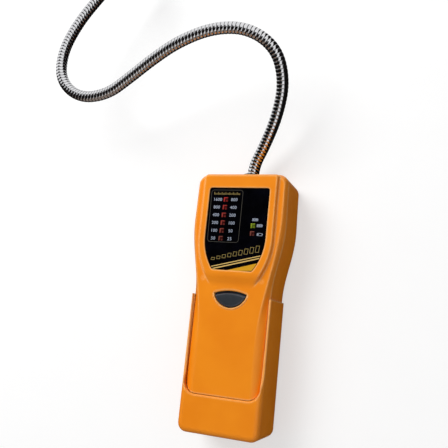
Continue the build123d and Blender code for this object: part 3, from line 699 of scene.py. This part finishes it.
def figure(text, name, x, y, finish):
    """A printed number, centred at a place on the label."""
    letters = bpy.data.curves.new(name, "FONT")
    letters.body = text
    letters.size = FIGURE_HEIGHT / FIGURE_SHARE
    letters.align_x = "CENTER"
    letters.align_y = "CENTER"
    letters.offset = FIGURE_WEIGHT * FIGURE_HEIGHT
    letters.extrude = INK_THICK / 2
    letters.space_character = FIGURE_SPACING
    letters.resolution_u = FIGURE_STEPS
    stand = bpy.data.objects.new(name, letters)
    mesh = bpy.data.meshes.new_from_object(stand)
    bpy.data.objects.remove(stand)
    lift = LABEL_FACE - INK_SUNK + INK_THICK / 2
    mesh.transform(Matrix.Scale(MM, 4) @ Matrix.Translation((x, y, lift)))
    mesh.materials.clear()
    new_piece(name, mesh, finish, "housing")


def printed(name, outlines, finish):
    """Flat printed shapes of convex outlines, each a thin slab with its walls."""
    points, faces = [], []
    for outline in outlines:
        ring = np.asarray(outline, dtype=float)
        count, first = len(ring), len(points)
        low = np.column_stack((ring, np.full(count, LABEL_FACE - INK_SUNK)))
        points.extend([*low, *(low + (0.0, 0.0, INK_THICK))])
        k = np.arange(count)
        after = (k + 1) % count
        walls = np.column_stack((k, after, after + count, k + count)) + first
        faces.extend([*walls, k + count + first, k[::-1] + first])
    new_piece(name, new_mesh(name, points, faces), finish, "housing")


def label_side(y):
    """Half of the label's width at a level: straight above the bend, an arc below it."""
    drop = np.clip((LABEL_BEND - np.asarray(y, dtype=float)) / LABEL_RADIUS, 0.0, 1.0)
    return LABEL_HALF - LABEL_RADIUS * (1.0 - np.sqrt(1.0 - drop**2))


def rounded_ring(corners, radius):
    """Points round a four-cornered outline, clockwise, with each corner turned on an arc."""
    corners = np.asarray(corners, dtype=float)
    turn = np.linspace(0.0, np.pi / 2, CORNER_STEPS)[:, None]
    points = []
    befores, afters = np.roll(corners, 1, axis=0), np.roll(corners, -1, axis=0)
    for before, corner, after in zip(befores, corners, afters):
        inward = (before - corner) / np.linalg.norm(before - corner)
        onward = (after - corner) / np.linalg.norm(after - corner)
        arc = (1 - np.sin(turn)) * inward + (1 - np.cos(turn)) * onward
        points.append(corner + radius * arc)
    return np.vstack(points)


def line_round(points, width):
    """Outlines of the straight pieces of a closed line of a given width, mitred at its points."""
    points = np.asarray(points, dtype=float)
    ahead = np.roll(points, -1, axis=0) - points
    ahead /= np.linalg.norm(ahead, axis=1, keepdims=True)
    middle = ahead + np.roll(ahead, 1, axis=0)
    middle /= np.linalg.norm(middle, axis=1, keepdims=True)
    normal = np.column_stack((-middle[:, 1], middle[:, 0]))
    reach = width / 2 / np.maximum(0.5, (middle * ahead).sum(axis=1))[:, None]
    left, right = points + reach * normal, points - reach * normal
    return np.stack((left, right, np.roll(right, -1, axis=0), np.roll(left, -1, axis=0)), axis=1)


def upright_bars(x, low, width, tall, lean=0.0):
    """Outlines of bars that stand side by side, with their tops pushed sideways by lean."""
    half = width / 2
    left_foot = np.stack((x - half, low), axis=-1)
    right_foot = np.stack((x + half, low), axis=-1)
    rise = np.stack((lean * tall, tall), axis=-1)
    return np.stack((left_foot, right_foot, right_foot + rise, left_foot + rise), axis=1)


def scale_frame(finish):
    """Thin rounded line round the column of lights."""
    ring = rounded_ring(FRAME_CORNERS, FRAME_ROUND)
    printed("scale_frame", line_round(ring, FRAME_LINE), finish)


def header_ticks(finish):
    """Ruler over the two columns of numbers, with the first tick of each group taller."""
    k = np.arange(TICK_COUNT)
    tall = np.where(k % TICK_GROUP == 0, TICK_TALL, TICK_SHORT)
    low = np.full(TICK_COUNT, TICK_START[1])
    ticks = upright_bars(TICK_START[0] + TICK_PITCH * k, low, TICK_WIDTH, tall)
    printed("header_ticks", ticks, finish)


def cell_marks(finish):
    """Small outlines of a cell lying on its side, filled as far as its charge goes."""
    across, tall = CELL_HALF
    box = np.array(((-across, tall), (across, tall), (across, -tall), (-across, -tall)))
    outlines = []
    for x, y, charge in CELL_MARKS:
        outlines.extend(line_round(box + (x, y), CELL_LINE))
        nub, nub_low = np.array([x + across + NUB_GAP]), np.array([y - NUB_SIDES[1] / 2])
        outlines.extend(upright_bars(nub, nub_low, NUB_SIDES[0], np.array([NUB_SIDES[1]])))
        fill = x - across + CHARGE_GAP + CHARGE_PITCH * np.arange(charge)
        low, high = np.full(charge, y - CHARGE_SIDES[1] / 2), np.full(charge, CHARGE_SIDES[1])
        outlines.extend(upright_bars(fill, low, CHARGE_SIDES[0], high))
    printed("cell_marks", outlines, finish)


def rising_bars(finish):
    """A row of bars that grow along the slant, as a plain sign for a rising level."""
    share = np.linspace(0.0, 1.0, BAR_COUNT)
    x = BAR_START[0] + share * (BAR_END[0] - BAR_START[0])
    low = BAR_START[1] + share * (BAR_END[1] - BAR_START[1])
    tall = BAR_SHORT + share * (BAR_TALL - BAR_SHORT)
    outlines = []
    for bar in upright_bars(x, low, BAR_WIDTH, tall, BAR_LEAN):
        outlines.extend(line_round(bar[::-1], BAR_LINE))
    printed("level_bars", outlines, finish)


def slant_line(x0, y0, x1, y1, width):
    """Outline of a slanted stripe that ends at a gap from the label's curved sides.

    Each end slides along the slant to where the side stands at its level, and a few
    rounds of that settle it.
    """
    slope = (y1 - y0) / (x1 - x0)
    low = np.array([(x0, y0), (x1, y1)])
    high = low + (0.0, width)
    for edge in (low, high):
        for row, side in ((0, -1), (1, 1)):
            for _ in range(STRIPE_ROUNDS):
                reach = side * (label_side(edge[row, 1]) - EDGE_GAP)
                edge[row, 1] += slope * (reach - edge[row, 0])
                edge[row, 0] = reach
    return np.array((low[0], low[1], high[1], high[0]))


def stripes(finish):
    """The two slanted stripes across the label's foot."""
    printed("label_stripes", [slant_line(*stripe) for stripe in STRIPES], finish)


def wedge(finish):
    """Filled corner below the stripes, bounded by the label's arc on its right."""
    y = np.linspace(LABEL_FOOT + EDGE_GAP, WEDGE_TOP, WEDGE_STEPS)
    arc = np.column_stack((label_side(y) - EDGE_GAP, y))
    printed("label_wedge", [np.vstack((WEDGE_START, arc))], finish)


def label_print():
    """All that is printed on the label."""
    white = ink("white_ink", tone(142, 151, 168), tone(172, 181, 198))
    gold = ink("gold_ink", tone(120, 102, 52), tone(144, 126, 70))
    for step, (left, right) in enumerate(zip(SCALE_LEFT, SCALE_RIGHT)):
        row = SCALE_TOP_Y - step * SCALE_PITCH
        left_x = SCALE_LEFT_X - SCALE_LEFT_SLIP * step
        right_x = SCALE_RIGHT_X - SCALE_RIGHT_SLIP * step
        figure(left, f"scale_left_{step + 1}", left_x, row, white)
        figure(right, f"scale_right_{step + 1}", right_x, row, white)
    scale_frame(ink("grey_ink", tone(52, 50, 42), tone(66, 63, 54)))
    header_ticks(gold)
    cell_marks(white)
    rising_bars(gold)
    stripes(ink("pale_gold_ink", tone(196, 160, 84), tone(222, 188, 112)))
    wedge(ink("amber_ink", tone(206, 146, 6), tone(218, 160, 14)))


def slot_finishes():
    """The finish of each of the record's material slots, but for the lights."""
    black = (tone(22, 22, 23), tone(34, 34, 36))
    white = (tone(214, 212, 204), tone(228, 226, 218))
    rubber = (tone(20, 20, 20), tone(32, 32, 32))
    zinc = (tone(150, 150, 152), tone(196, 196, 198))
    nickel = (tone(176, 174, 168), tone(214, 212, 206))
    chrome = (tone(205, 205, 208), tone(235, 235, 237))
    gold = (tone(190, 150, 70), tone(222, 184, 96))
    return {
        "orange_shell": orange_plastic(),
        "black_panel": panel_plastic(),
        "slate_button": slate_plastic(),
        "green_board": circuit_board(),
        "black_plastic": dull_plastic("dull_black_plastic", *black, 0.5),
        "white_plastic": dull_plastic("dull_white_plastic", *white, 0.45),
        "steel": bare_metal("zinc_plated_steel", *zinc, 0.35, 0.3),
        "spring_steel": bare_metal("nickel_plated_steel", *nickel, 0.25, 0.3),
        "neck_chrome": bare_metal("smooth_chrome", *chrome, 0.14, 0.4),
        "cell_jacket": cell_jacket(),
        "lead_jacket": dull_plastic("lead_rubber", *rubber, 0.55),
        "gold_can": bare_metal("gold_plated_can", *gold, 0.3, 0.3),
        "screen_steel": woven_screen(),
    }


def assign(node, finish):
    """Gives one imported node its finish."""
    for slot in node.material_slots:
        slot.material = finish


def dress_nodes(nodes, finishes):
    """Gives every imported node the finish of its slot, and the bushing a dark one."""
    for node in nodes.values():
        slot = node.material_slots[0].material.name.split(".")[0]
        if slot in finishes:
            assign(node, finishes[slot])
    bushing = bare_metal("black_nickel", tone(46, 41, 38), tone(74, 68, 64), 0.35, 0.3)
    assign(nodes["neck_bushing"], bushing)


def dress_lights(nodes):
    """Gives each light its window; the painted highlight of the red ones grows duller down the
    column.
    """
    for step in range(LED_COUNT):
        share = step / (LED_COUNT - 1)
        place = tuple(start + step * move for start, move in zip(LED_TOP, LED_STEP))
        border = tuple(high + (low - high) * share for high, low in zip(RED_TOP, RED_FOOT))
        assign(nodes[f"leak_led_{step + 1}"],
               lamp_window(f"red_lamp_window_{step + 1}", place, border, RED_CORE))
    assign(nodes["battery_led_green"],
           lamp_window("green_lamp_window", LED_GREEN, GREEN_BORDER, GREEN_CORE))
    assign(nodes["battery_led_red"],
           lamp_window("low_lamp_window", LED_RED, RED_FOOT, RED_CORE))


def view_axes():
    """Right, up and backwards as the camera stands."""
    back = -CAMERA_AIM.normalized()
    right = (CAMERA_RIGHT - back * CAMERA_RIGHT.dot(back)).normalized()
    return right, back.cross(right), back


def camera():
    """The photograph's view."""
    lens = bpy.data.cameras.new("camera")
    lens.lens = CAMERA_LENS
    lens.sensor_width = CAMERA_FILM
    lens.clip_start = CAMERA_NEAR
    stand = in_scene("camera", lens)
    turned = Matrix(view_axes()).transposed().to_4x4()
    stand.matrix_world = Matrix.Translation(CAMERA_PLACE) @ turned
    bpy.context.scene.camera = stand


def light_area(name, place, size, power):
    """A square soft light that faces the middle of the object."""
    lamp = bpy.data.lights.new(name, "AREA")
    lamp.size = size
    lamp.energy = power
    stand = in_scene(name, lamp)
    stand.location = place
    stand.rotation_euler = (LIGHT_AIM - place).to_track_quat("-Z", "Y").to_euler()
    stand.visible_glossy = False


def surroundings():
    """White for the camera, even light for matt surfaces, and a room for gloss and metal.

    The room is dark, with a pale backdrop above the object, a tall leaning window by the
    camera, a dim table below, and a dark flag that keeps the backdrop off the label.
    """
    world = bpy.data.worlds.new("studio")
    bpy.context.scene.world = world
    world.use_nodes = True
    room = NodeBench(world.node_tree)
    sky = room.tree.nodes["Background"]
    path = room.add("ShaderNodeLightPath")
    way = room.add("ShaderNodeTexCoord").outputs["Generated"]
    axes = view_axes()
    x, y, z = (room.dot(way, axis) for axis in axes)
    backdrop = room.product(room.ramp(y, *BACKDROP_LOW), room.ramp(x, *BACKDROP_RIGHT))
    table = room.product(
        room.ramp(y, *TABLE_HIGH), room.ramp(z, *TABLE_FAR), room.ramp(x, *TABLE_RIGHT))
    lean = room.product(room.math("SUBTRACT", y, WINDOW_HINGE), WINDOW_LEAN)
    window = room.product(
        room.ramp(room.math("SUBTRACT", x, lean), *WINDOW_LEFT), room.ramp(x, *WINDOW_RIGHT),
        room.ramp(y, *WINDOW_LOW), room.ramp(z, *WINDOW_DEEP))
    flag_way = sum((share * axis for share, axis in zip(FLAG_WAY, axes)), Vector((0.0, 0.0, 0.0)))
    flag = room.ramp(room.dot(way, flag_way), *FLAG_EDGE)
    pale = room.product(room.math("MAXIMUM", backdrop, window), room.math("SUBTRACT", 1.0, flag))
    colour = room.mix(table, tone(*DARK_TONE), tone(*TABLE_TONE))
    colour = room.mix(pale, colour, tone(*PALE_TONE))
    colour = room.mix(path.outputs["Is Glossy Ray"], tone(*PALE_TONE), colour)
    seen = room.math("MAXIMUM", path.outputs["Is Camera Ray"], path.outputs["Is Glossy Ray"])
    room.feed(sky.inputs["Color"], colour)
    room.feed(sky.inputs["Strength"], room.ramp(seen, 0.0, 1.0, SKY_STRENGTH, 1.0))


def floor(level):
    """Pale floor that the camera sees brighter than it lights the object."""
    reach = FLOOR_HALF / MM
    signs = ((-1, -1), (1, -1), (1, 1), (-1, 1))
    corners = [(x * reach, y * reach, level / MM) for x, y in signs]
    mesh = new_mesh("floor", corners, [(0, 1, 2, 3)])
    finish = Finish("pale_floor", 0.9)
    finish.colour(finish.clouds(40.0, tone(184, 184, 184), tone(188, 188, 188)))
    glow = finish.add("ShaderNodeEmission")
    seen = finish.add("ShaderNodeLightPath").outputs["Is Camera Ray"]
    finish.feed(glow.inputs["Strength"], finish.product(seen, FLOOR_GLOW))
    both = finish.add("ShaderNodeAddShader")
    finish.feed(both.inputs[0], finish.shader.outputs[0])
    finish.feed(both.inputs[1], glow.outputs[0])
    finish.feed(finish.tree.nodes["Material Output"].inputs["Surface"], both.outputs[0])
    mesh.materials.append(finish.material)
    ground = in_scene("floor", mesh)
    ground.visible_glossy = False


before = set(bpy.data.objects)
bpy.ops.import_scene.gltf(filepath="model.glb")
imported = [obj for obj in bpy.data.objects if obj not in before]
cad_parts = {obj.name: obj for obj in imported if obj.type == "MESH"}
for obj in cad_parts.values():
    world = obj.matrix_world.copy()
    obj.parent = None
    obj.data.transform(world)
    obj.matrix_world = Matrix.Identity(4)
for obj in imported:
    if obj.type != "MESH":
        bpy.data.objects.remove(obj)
cad_box = [list(corner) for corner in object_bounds()]
camera()

finishes = slot_finishes()
dress_nodes(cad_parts, finishes)
dress_lights(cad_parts)
button_cap(finishes["slate_button"])
button_lip(finishes["orange_shell"])
wound_tube(wound_chrome())
label_print()

floor(cad_box[0][2])
surroundings()
light_area("key_light", KEY_PLACE, KEY_SIZE, KEY_POWER)
light_area("fill_light", FILL_PLACE, FILL_SIZE, FILL_POWER)
bpy.context.scene.view_settings.view_transform = "Standard"
